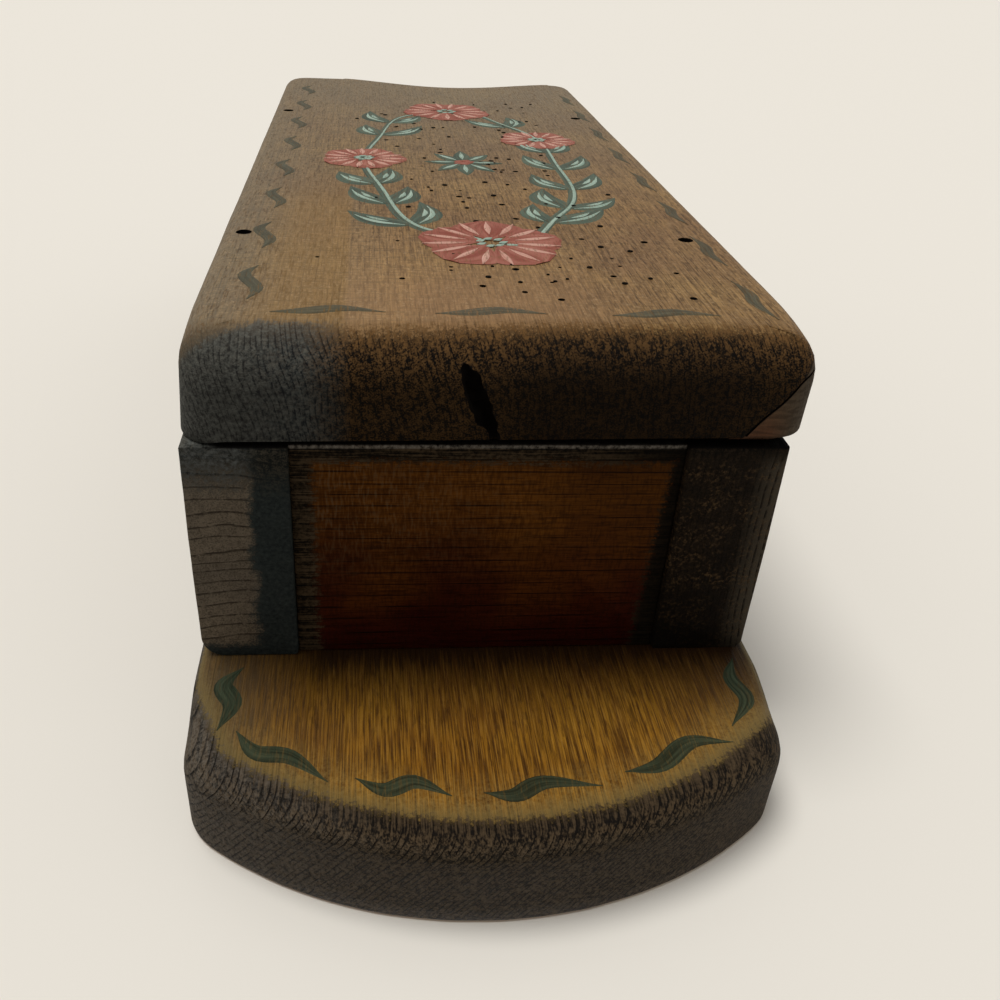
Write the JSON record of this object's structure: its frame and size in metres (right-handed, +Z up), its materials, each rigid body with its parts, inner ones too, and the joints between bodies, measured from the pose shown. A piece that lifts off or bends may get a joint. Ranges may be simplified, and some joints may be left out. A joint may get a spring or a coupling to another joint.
{
  "type": "wall pocket",
  "caption": "Open-topped pine wall pocket nailed to a tall backboard with arched ends, a scooped front board and a hanging hole.",
  "frame": {"origin": "where the axis of the hanging hole meets the backboard's back face", "axes": "+Z up the wall, -Y out of the wall towards the viewer, +X to the viewer's right"},
  "size_m": [0.115, 0.087, 0.394],
  "materials": {
    "aged_pine": "aged, stained and worn pine",
    "scorched_pine": "scorched and stained pine",
    "dark_pine": "stained pine, long grain",
    "old_iron": "darkened iron",
    "green_paint": "thin dark green brushed paint on wood",
    "rose_paint": "thin rose brushed paint on wood",
    "sage_paint": "thin pale sage brushed paint on wood"
  },
  "bodies": {
    "root": {"backboard": "aged_pine", "left_side": "scorched_pine", "right_side": "scorched_pine", "bottom_board": "dark_pine", "front_board": "aged_pine", "front_nails": "old_iron", "back_nails": "old_iron", "bottom_nails": "old_iron"}
  },
  "joints": []
}
